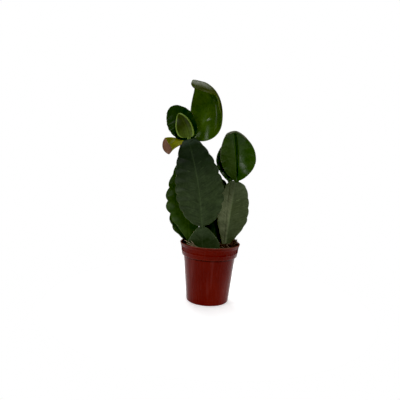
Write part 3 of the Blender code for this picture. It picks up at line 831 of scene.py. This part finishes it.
def pot_material():
    g = Graph("pot_plastic")
    place = g.place()
    x, y, height = g.node("SeparateXYZ", place).outputs
    broad = g.noise(place, 38.0, 3.0, 0.6)
    fine = g.noise(place, 900.0, 3.0, 0.6)
    g.colour = g.mix(g.spread(broad, 0.35, 0.65), (0.098, 0.0054, 0.0026), (0.118, 0.0074, 0.0034))

    # A painted highlight: a thin pale line along the top of the rim
    g.over(g.spread(height, POT_HEIGHT - 0.0007, POT_HEIGHT - 0.0002, 0.0, 0.6), (0.21, 0.095, 0.062))

    # Painted shadow under the band and under the lip, and a painted highlight along the band's lower edge
    for middle, half, share, tone in (
        (BAND_FOOT_Z - 0.0006, 0.001, 0.75, (0.016, 0.0012, 0.0008)),
        (BAND_FOOT_Z + 0.0007, 0.0005, 0.3, (0.17, 0.03, 0.016)),
        (POT_HEIGHT - 0.0018, 0.0007, 0.45, (0.03, 0.002, 0.0012)),
    ):
        g.over(g.fade(g.size(g.minus(height, middle)), 0.3 * half, half, share), tone)

    # Soft pale streaks painted up the wall: painted reflections
    streaks = g.noise(g.combine(x, y, g.times(height, 0.05)), 150.0, 2.0, 0.5)
    g.over(g.spread(streaks, 0.55, 0.75, 0.0, 0.3), (0.17, 0.036, 0.03))

    # The inside of the band is painted near black, a little unevenly, up to just under the rim
    radius = g.node("Math", g.plus(g.times(x, x), g.times(y, y)), operation="SQRT").outputs[0]
    outside = g.plus(g.times(g.minus(height, BAND_FOOT_Z), BAND_SLOPE), BAND_FOOT_RADIUS)
    inside = g.times(
        g.fade(g.minus(radius, outside), -0.0008, -0.0005),
        g.spread(height, POT_HEIGHT - 0.0005, POT_HEIGHT - 0.0012),
        g.spread(height, BAND_FOOT_Z + 0.0015, BAND_FOOT_Z + 0.0025),
        g.spread(fine, 0.3, 0.6, 0.7, 0.95),
    )
    g.over(inside, (0.018, 0.005, 0.0035))

    # Dust in fine specks
    specks = g.fade(g.cells(place, 620.0), 0.05, 0.12)
    where = g.spread(g.noise(place, 95.0, 3.0), 0.56, 0.72)
    g.over(g.times(specks, where, 0.45), (0.22, 0.13, 0.1))

    # Flow marks of the moulding run up the wall
    marks = g.noise(g.combine(x, y, g.times(height, 0.06)), 420.0, 2.0, 0.5)
    rough = g.plus(g.spread(marks, 0.3, 0.7, 0.2, 0.32), g.spread(broad, 0.5, 0.75, 0.0, 0.1))
    return g.finish(rough, 0.07, g.bump(g.plus(marks, g.times(fine, 0.5)), 0.15, 0.00004))


def soil_material():
    g = Graph("potting_mix")
    place = g.place()
    broad = g.noise(place, 240.0, 4.0, 0.65)
    fine = g.noise(place, 1500.0, 4.0, 0.7)
    tone = g.plus(g.times(broad, 0.6), g.times(fine, 0.4))
    g.colour = g.mix(g.spread(tone, 0.36, 0.66), (0.008, 0.004, 0.0022), (0.045, 0.024, 0.014))
    g.over(g.spread(g.noise(place, 2600.0, 2.0), 0.66, 0.74, 0.0, 0.6), (0.14, 0.09, 0.055))
    return g.finish(g.spread(fine, 0.3, 0.7, 0.8, 1.0), 0.25, g.bump(fine, 0.8, 0.0003))


def crumb_material():
    g = Graph("bark_crumbs")
    place = g.place()
    fine = g.noise(place, 1300.0, 4.0, 0.7)
    strand = g.noise(place, 330.0, 2.0, 0.6, 1.5)
    dark = g.mix(g.spread(strand, 0.38, 0.62), (0.012, 0.006, 0.0035), (0.06, 0.03, 0.016))
    g.colour = g.mix(g.spread(fine, 0.45, 0.75, 0.0, 0.7), dark, (0.11, 0.062, 0.034))
    return g.finish(0.92, 0.25, g.bump(fine, 0.7, 0.0002))


def two_tone(name, grain, dark, light, rough, bump=None):
    """A material of two tones that follow one noise, for the small loose things."""
    g = Graph(name)
    tone = g.noise(g.place(), *grain)
    g.colour = g.mix(g.spread(tone, 0.35, 0.65), dark, light)
    return g.finish(rough, 0.3, g.bump(tone, *bump) if bump else None)


def fibre_material():
    return two_tone("root_fibres", (420.0, 3.0, 0.6), (0.16, 0.11, 0.062), (0.42, 0.34, 0.23),
                    0.8, (0.5, 0.0001))


def grain_material():
    return two_tone("perlite", (1600.0, 4.0, 0.7), (0.34, 0.29, 0.23), (0.62, 0.57, 0.5), 0.9, (0.9, 0.0002))


def bristle_material():
    return two_tone("areole_bristles", (900.0, 2.0), (0.15, 0.1, 0.05), (0.36, 0.28, 0.17), 0.6)


def floor_material():
    g = Graph("pale_floor")
    g.colour = g.mix(g.noise(g.place(), 9.0, 2.0), (0.86, 0.86, 0.86), (0.89, 0.89, 0.89))
    g.put(g.shader.inputs["Emission Color"], (1, 1, 1))
    g.put(g.shader.inputs["Emission Strength"], FLOOR_GLOW)
    return g.finish(0.85, 0.1)


# Pot

def body_radius(height):
    share = (height - BASE_EDGE) / (BAND_FOOT_Z - BASE_EDGE)
    return BASE_RADIUS + (BODY_TOP_RADIUS - BASE_RADIUS) * share


def band_point(height, proud=0.0):
    return BAND_FOOT_RADIUS + BAND_SLOPE * (height - BAND_FOOT_Z) + proud, height


def arc_corner(before, corner, after, radius, steps=5):
    """Points that round a corner of a profile."""
    a, b, c = Vector(before), Vector(corner), Vector(after)
    reach = min(radius, 0.45 * (a - b).length, 0.45 * (c - b).length)
    start, end = b + (a - b).normalized() * reach, b + (c - b).normalized() * reach
    found = []
    for i in range(steps + 1):
        t = i / steps
        found.append((1 - t) ** 2 * start + 2 * t * (1 - t) * b + t * t * end)
    return [(p.x, p.y) for p in found]


def turned(profile, steps):
    """An open profile, with its two ends on the axis, turned about Z."""
    inner = profile[1:-1]
    points = [(0, 0, profile[0][1])]
    for radius, height in inner:
        points += circle(radius, height, steps)
    points.append((0, 0, profile[-1][1]))
    last = len(points) - 1
    faces = []
    for k in range(steps):
        n = (k + 1) % steps
        faces.append((0, 1 + n, 1 + k))
        faces.append((last, last - steps + k, last - steps + n))
    return points, faces + bands(1, len(inner), steps)


def make_pot(material):
    # Each corner of the profile has the radius that rounds it
    corners = [
        ((0, WALL), 0),
        ((body_radius(WALL) - WALL, WALL), 0.0008),
        ((BODY_TOP_RADIUS - WALL, BAND_FOOT_Z + WALL / 2), 0.0004),
        ((BAND_FOOT_RADIUS - WALL, BAND_FOOT_Z + WALL), 0.0004),
        ((RIM_RADIUS - RIM_LIP - WALL, POT_HEIGHT - RIM_LIP), 0.0004),
        ((RIM_RADIUS - WALL, POT_HEIGHT), 0.0003),
        ((RIM_RADIUS - RIM_LIP, POT_HEIGHT), 0.0004),
        ((RIM_RADIUS, POT_HEIGHT - RIM_LIP), 0.0004),
        ((RIM_RADIUS - RIM_LIP, POT_HEIGHT - 3 * RIM_LIP), 0.0003),
        (band_point(STEP_Z + STEP_RUN), 0.0001),
        (band_point(STEP_Z, -STEP_DEPTH), 0.0001),
        (band_point(RIDGE_Z + RIDGE_RUN), 0.0002),
        (band_point(RIDGE_Z, RIDGE_HEIGHT), 0.0002),
        (band_point(RIDGE_Z - RIDGE_RUN), 0.0002),
        ((BAND_FOOT_RADIUS, BAND_FOOT_Z + RIM_LIP), 0.0003),
        ((BAND_FOOT_RADIUS - RIM_LIP, BAND_FOOT_Z), 0.0003),
        ((BODY_TOP_RADIUS, BAND_FOOT_Z), 0.0003),
        ((BASE_RADIUS, BASE_EDGE), 0.0005),
        ((BASE_RADIUS - BASE_EDGE, 0), 0.0004),
        ((0, 0), 0),
    ]
    profile = [corners[0][0]]
    for before, (corner, radius), after in zip(corners, corners[1:], corners[2:]):
        profile += arc_corner(before[0], corner, after[0], radius)
    profile.append(corners[-1][0])
    pot = new_piece("nursery_pot", *turned(profile, POT_STEPS), material, "red_plastic")
    for i in range(DRAIN_HOLES):
        angle = 2 * pi * (i + 0.5) / DRAIN_HOLES
        bpy.ops.mesh.primitive_cylinder_add(
            vertices=DRAIN_STEPS, radius=DRAIN_RADIUS, depth=6 * WALL,
            location=(DRAIN_CIRCLE_RADIUS * cos(angle), DRAIN_CIRCLE_RADIUS * sin(angle), 0),
        )
        drill = bpy.context.object
        boolean = pot.modifiers.new("drain", "BOOLEAN")
        boolean.operation = "DIFFERENCE"
        boolean.object = drill
        cut = bpy.data.meshes.new_from_object(pot.evaluated_get(bpy.context.evaluated_depsgraph_get()))
        pot.modifiers.clear()
        pot.data = cut
        bpy.data.objects.remove(drill, do_unlink=True)
    pot.data.shade_smooth()
    pot.data.set_sharp_from_angle(angle=radians(SHARP_ANGLE))
    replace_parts(pot, "pot")


# Soil

def hill(x, y, centre, reach, height):
    return height * exp(-((hypot(x - centre[0], y - centre[1]) / reach) ** 2))


def soil_top(x, y):
    crown = SOIL_CROWN * (1 - (hypot(x, y) / BODY_TOP_RADIUS) ** 2)
    crumbs = CRUMB_HEIGHT * noise.noise(Vector((x, y, 0)) / CRUMB_SIZE)
    return SOIL_EDGE_Z + crown + hill(x, y, MOUND_CENTRE, MOUND_REACH, MOUND_HEIGHT) + crumbs


def fine_soil_top(x, y):
    where = Vector((x, y, 0))
    coarse = COARSE_RELIEF[0] * noise.noise(where / COARSE_RELIEF[1])
    fine = FINE_RELIEF[0] * noise.noise(where / FINE_RELIEF[1] + Vector((9, 4, 2)))
    return soil_top(x, y) + coarse + fine + hill(x, y, HEAP_CENTRE, HEAP_REACH, HEAP_HEIGHT)


def soil_edge_radius():
    share = (SOIL_EDGE_Z - BAND_FOOT_Z) / BAND_HEIGHT
    return BAND_FOOT_RADIUS + (RIM_RADIUS - BAND_FOOT_RADIUS) * share - WALL - CLEARANCE


def make_soil(material):
    edge = soil_edge_radius()
    room = WALL + 2 * CLEARANCE
    bottom_radius = body_radius(WALL) - room
    bottom_z = WALL + CLEARANCE
    top = [(edge * i / SOIL_RINGS, POT_HEIGHT) for i in range(SOIL_RINGS + 1)]
    side = [
        (edge, SOIL_EDGE_Z - 0.0006),
        (BAND_FOOT_RADIUS - room, BAND_FOOT_Z + room),
        (BODY_TOP_RADIUS - room, BAND_FOOT_Z - WALL),
    ]
    bottom = [(bottom_radius * (1 - i / BOTTOM_RINGS), bottom_z) for i in range(BOTTOM_RINGS + 1)]
    points, faces = turned(top + side + bottom, SOIL_STEPS)
    shaped = []
    for x, y, z in points:
        if z == POT_HEIGHT:
            z = fine_soil_top(x, y)
        elif z == bottom_z:
            z += BOTTOM_RELIEF[0] * (0.5 + 0.5 * noise.noise(Vector((x, y, 5)) / BOTTOM_RELIEF[1]))
        shaped.append((x, y, z))
    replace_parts(new_piece("potting_soil", shaped, faces, material, "soil"), "soil")


def pad_tree(pads):
    """The pads' points near the soil, to keep loose bits clear of them."""
    low, high = PADS_NEAR_SOIL
    near = [v.co.copy() for pad in pads for v in pad.data.vertices if low < v.co.z < high]
    tree = kdtree.KDTree(len(near))
    for i, p in enumerate(near):
        tree.insert(p, i)
    tree.balance()
    return tree


def near_heap(rng, spread):
    return HEAP_CENTRE[0] + rng.normal(0, spread[0]), HEAP_CENTRE[1] + rng.normal(0, spread[1])


def make_crumbs(rng, material, tree):
    crumbs = Bits(rng)
    for i in range(CRUMBS + HEAP_CRUMBS):
        size = LEAST_CRUMB + CRUMB_RANGE * rng.random() ** 2.5
        limit = soil_edge_radius() - size - CRUMB_EDGE_ROOM
        radius = limit * sqrt(rng.random())
        angle = rng.uniform(0, 2 * pi)
        x, y = radius * cos(angle), radius * sin(angle)
        if i >= CRUMBS:
            x, y = near_heap(rng, HEAP_CRUMB_SPREAD)
            if hypot(x, y) > limit:
                continue
        centre = Vector((x, y, fine_soil_top(x, y) + 0.35 * size))
        if tree.find(centre)[2] > size + CLEARANCE:
            crumbs.lump(centre, size, rng.uniform(0.9, 1.7))
    crumbs.finish("soil_crumbs", material, "soil")


def make_grains(rng, material, tree):
    grains = Bits(rng)
    for x, y in GRAINS:
        size = LEAST_GRAIN + GRAIN_RANGE * rng.random()
        centre = Vector((x, y, fine_soil_top(x, y) + 0.5 * size))
        if tree.find(centre)[2] > size + CLEARANCE:
            grains.lump(centre, size)
    grains.finish("soil_grains", material, "soil")


def add_loose_fibres(fibres, tree):
    rng = fibres.rng
    edge = soil_edge_radius()
    starts = [FIRST_FIBRE]
    while len(starts) < FIBRES:
        radius, angle = edge * 0.9 * sqrt(rng.random()), rng.uniform(0, 2 * pi)
        place = (radius * cos(angle), radius * sin(angle))
        starts.append((place, rng.uniform(0, 360), rng.uniform(0.004, 0.012)))
    for (x, y), heading, length in starts:
        path = []
        heading = radians(heading)
        thick = rng.uniform(0.0001, 0.0002)
        for i in range(FIBRE_STEPS + 1):
            if hypot(x, y) > edge - FIBRE_EDGE_ROOM:
                break
            arch = FIBRE_ARCH * sin(pi * i / FIBRE_STEPS)
            spot = Vector((x, y, fine_soil_top(x, y) + thick + FIBRE_LIFT + arch))
            if tree.find(spot)[2] < FIBRE_LIFT + thick:
                break
            path.append(spot)
            heading += rng.normal(0, 0.28)
            x += length / FIBRE_STEPS * cos(heading)
            y += length / FIBRE_STEPS * sin(heading)
        if len(path) > 4:
            fibres.tube(path, [thick * (1 - 0.5 * i / len(path)) for i in range(len(path))], 6)


def add_strands(fibres):
    # Without a seed the waver would change with the clock
    noise.seed_set(FIBRE_SEED)
    for strand in STRANDS:
        ends = [Vector(p) for p in strand]
        path = [a.lerp(b, t / 4) for a, b in zip(ends, ends[1:]) for t in range(4)] + ends[-1:]
        path = [p + STRAND_WAVER * noise.noise_vector(p * 900) for p in path]
        shares = [0.35 + 0.65 * sin(pi * (0.06 + 0.88 * i / len(path))) for i in range(len(path))]
        fibres.tube(path, [STRAND_RADIUS * share for share in shares], 7)


def add_heap_hairs(fibres):
    rng = fibres.rng
    for i in range(HAIRS):
        x, y = near_heap(rng, HAIR_SPREAD)
        spot = Vector((x, y, fine_soil_top(x, y)))
        way = Vector((rng.normal(0.2, 0.6), rng.normal(-0.2, 0.6), 0.8)).normalized()
        path = []
        for k in range(HAIR_POINTS):
            path.append(spot)
            way = (way + 0.21 * Vector(rng.normal(0, 1, 3)) - Vector((0, 0, 0.08))).normalized()
            spot = spot + way * rng.uniform(0.0003, 0.0005)
        fibres.tube(path, [HAIR_RADIUS * (1 - 0.08 * k) for k in range(HAIR_POINTS)], 5)


def make_fibres(rng, material, tree):
    fibres = Bits(rng)
    add_loose_fibres(fibres, tree)
    add_strands(fibres)
    add_heap_hairs(fibres)
    fibres.finish("soil_fibres", material, "soil")


# Areoles

def areole_rows(shape, side, along):
    """The rows of a pad that lie at the notches of one margin."""
    rows = []
    for k in range(-2, 14):
        spot = (k - lobe_shift(shape, side)) / shape["lobes"]
        if AREOLE_FROM < spot < AREOLE_TO:
            rows.append(int(np.argmin(np.abs(along - spot))))
    return rows


def add_areole(tufts, half, row, centre, frame):
    local = Vector((half["out"][row, -1], 0, half["up"][row, -1]))
    before = Vector((half["out"][row, -5], 0, half["up"][row, -5]))
    margin = centre + frame @ local
    if margin.z < SOIL_EDGE_Z + AREOLE_ABOVE_SOIL:
        return
    outward = (frame @ (local - before)).normalized()
    upward, facing = frame.col[1], frame.col[2]
    tufts.lump(margin - outward * AREOLE_SUNK, AREOLE_SIZE)
    uniform = tufts.rng.uniform
    for b in range(BRISTLES):
        way = outward * uniform(0.5, 1.0) + upward * uniform(0.2, 1.0) + facing * uniform(-0.5, 0.5)
        way = way.normalized() * uniform(0.0006, 0.0013)
        curve = facing * uniform(-0.0002, 0.0002)
        tufts.tube([margin + way * t + curve * t * t for t in BRISTLE_PLACES], BRISTLE_RADII, 5)


def make_areoles(rng, material, built):
    tufts = Bits(rng)
    for name, (pad, line, along, halves) in built.items():
        shape = pad_shape(name)
        if shape["lobe_depth"]:
            for side in ("left", "right"):
                for row in areole_rows(shape, side, along):
                    add_areole(tufts, halves[side], row, *line[row])
    tufts.finish("areole_tufts", material, "young_yellow")


# Studio

def make_floor():
    points = [(0, 0, 0)] + circle(FLOOR_RADIUS, 0, FLOOR_STEPS)
    faces = [(0, 1 + k, 1 + (k + 1) % FLOOR_STEPS) for k in range(FLOOR_STEPS)]
    new_object("floor", points, faces, floor_material())


def add_light(name, place, target, size, power):
    light = bpy.data.lights.new(name, "AREA")
    light.shape = "RECTANGLE"
    light.size, light.size_y = size
    light.energy = power
    obj = bpy.data.objects.new(name, light)
    obj.location = place
    obj.rotation_euler = (Vector(target) - Vector(place)).to_track_quat("-Z", "Y").to_euler()
    bpy.context.scene.collection.objects.link(obj)


def make_world():
    """White to the camera, and a faint light on the object."""
    world = bpy.data.worlds.new("studio")
    bpy.context.scene.world = world
    world.use_nodes = True
    tree = world.node_tree
    background = tree.nodes["Background"]
    background.inputs["Color"].default_value = (1, 1, 1, 1)
    path = tree.nodes.new("ShaderNodeLightPath")
    level = tree.nodes.new("ShaderNodeMapRange")
    tree.links.new(path.outputs["Is Camera Ray"], level.inputs[0])
    level.inputs[3].default_value = SKY_LIGHT
    level.inputs[4].default_value = 1.0
    tree.links.new(level.outputs[0], background.inputs["Strength"])


def make_studio():
    view = bpy.context.scene.view_settings
    view.view_transform = "Standard"
    view.look = "None"
    view.use_curve_mapping = True
    view.curve_mapping.black_level = (BLACK_LEVEL, BLACK_LEVEL, BLACK_LEVEL)
    make_world()
    for light in LIGHTS:
        add_light(*light)


def make_camera():
    data = bpy.data.cameras.new("camera")
    data.lens = LENS
    data.clip_start = CLIP_START
    camera = bpy.data.objects.new("camera", data)
    tilt = Matrix.Rotation(radians(90 - CAMERA_DOWN), 4, "X")
    roll = Matrix.Rotation(radians(CAMERA_ROLL), 4, "Z")
    camera.matrix_world = Matrix.Translation(CAMERA_PLACE) @ tilt @ roll
    bpy.context.scene.collection.objects.link(camera)
    bpy.context.scene.camera = camera


def main():
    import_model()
    make_camera()
    make_studio()
    make_floor()
    make_pot(pot_material())
    make_soil(soil_material())
    built = {name: make_pad(name, number) for number, name in enumerate(PADS)}
    tree = pad_tree([pad for pad, line, along, halves in built.values()])
    rng = np.random.default_rng(CRUMB_SEED)
    make_crumbs(rng, crumb_material(), tree)
    make_grains(rng, grain_material(), tree)
    make_fibres(np.random.default_rng(FIBRE_SEED), fibre_material(), tree)
    make_areoles(np.random.default_rng(BRISTLE_SEED), bristle_material(), built)


main()
